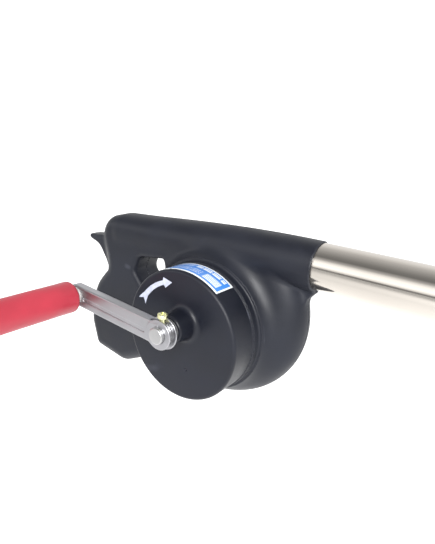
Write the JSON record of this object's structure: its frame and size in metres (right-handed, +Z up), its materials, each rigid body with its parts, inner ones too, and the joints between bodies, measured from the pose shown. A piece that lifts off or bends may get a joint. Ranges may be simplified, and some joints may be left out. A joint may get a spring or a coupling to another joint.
{
  "type": "hand-crank air blower",
  "caption": "Pistol-grip hand-crank air blower: a cranked gear case drives a centrifugal fan that blows through a straight steel pipe.",
  "frame": {"origin": "middle of the pistol grip, on the plane where the two body shells part", "axes": "+X along the outlet pipe, away from the hand; +Y from the crank to the back of the casing; +Z up, from the grip to the pipe"},
  "size_m": [0.3041, 0.1612, 0.1199],
  "materials": {
    "black_plastic": "satin moulded black plastic",
    "gear_plastic": "natural acetal",
    "fan_plastic": "black nylon",
    "stainless": "polished stainless steel",
    "steel": "bright steel",
    "zinc": "bright zinc plate",
    "yellow_zinc": "yellow zinc plate",
    "screw_black": "black oxide",
    "bronze": "sintered bronze",
    "red_plastic": "satin red plastic",
    "white_nylon": "white nylon",
    "print_white": "white pad print",
    "label": "printed vinyl"
  },
  "bodies": {
    "housing": {"front_shell": "black_plastic", "front_grip": "black_plastic", "rear_shell": "black_plastic", "rear_grip": "black_plastic", "gear_cover": "black_plastic", "gear_plate": "black_plastic", "inlet_grille": "black_plastic", "blow_pipe": "stainless", "counter_shaft": "steel", "crank_bush": "bronze", "fan_bush_front": "bronze", "fan_bush_rear": "bronze", "body_screws": "screw_black", "cover_screws": "screw_black", "pipe_screw": "screw_black", "direction_arrow": "print_white", "label": "label"},
    "crank": {"crank_shaft": "steel", "crank_gear": "gear_plastic", "crank_clip": "steel", "crank_arm": "zinc", "hub_collar": "steel", "set_screw": "yellow_zinc", "grip_pin": "steel", "grip_washer": "white_nylon", "grip_retainer": "steel"},
    "grip": {"red_grip": "red_plastic", "grip_cap": "red_plastic"},
    "idler": {"cluster_gear": "gear_plastic"},
    "fan": {"fan_shaft": "steel", "fan_pinion": "steel", "fan_wheel": "fan_plastic", "fan_washer": "steel", "fan_nut": "steel"}
  },
  "joints": [
    {"name": "crank_turn", "type": "hinge", "parent": "housing", "child": "crank", "pos_m": [0.0914, -0.05, 0], "axis": [0, 1, 0], "continuous": true},
    {"name": "grip_spin", "type": "hinge", "parent": "crank", "child": "grip", "pos_m": [0.02461, -0.107, 0.00385], "axis": [0, 1, 0], "continuous": true},
    {"name": "idler_turn", "type": "hinge", "parent": "housing", "child": "idler", "pos_m": [0.08304, -0.03, -0.02164], "axis": [0, 1, 0], "continuous": true},
    {"name": "fan_turn", "type": "hinge", "parent": "housing", "child": "fan", "pos_m": [0.0914, 0, 0], "axis": [0, 1, 0], "continuous": true}
  ],
  "couplings": [
    {"joint": "idler_turn", "follows": "crank_turn", "ratio": -3.8333},
    {"joint": "fan_turn", "follows": "crank_turn", "ratio": 18.4}
  ]
}
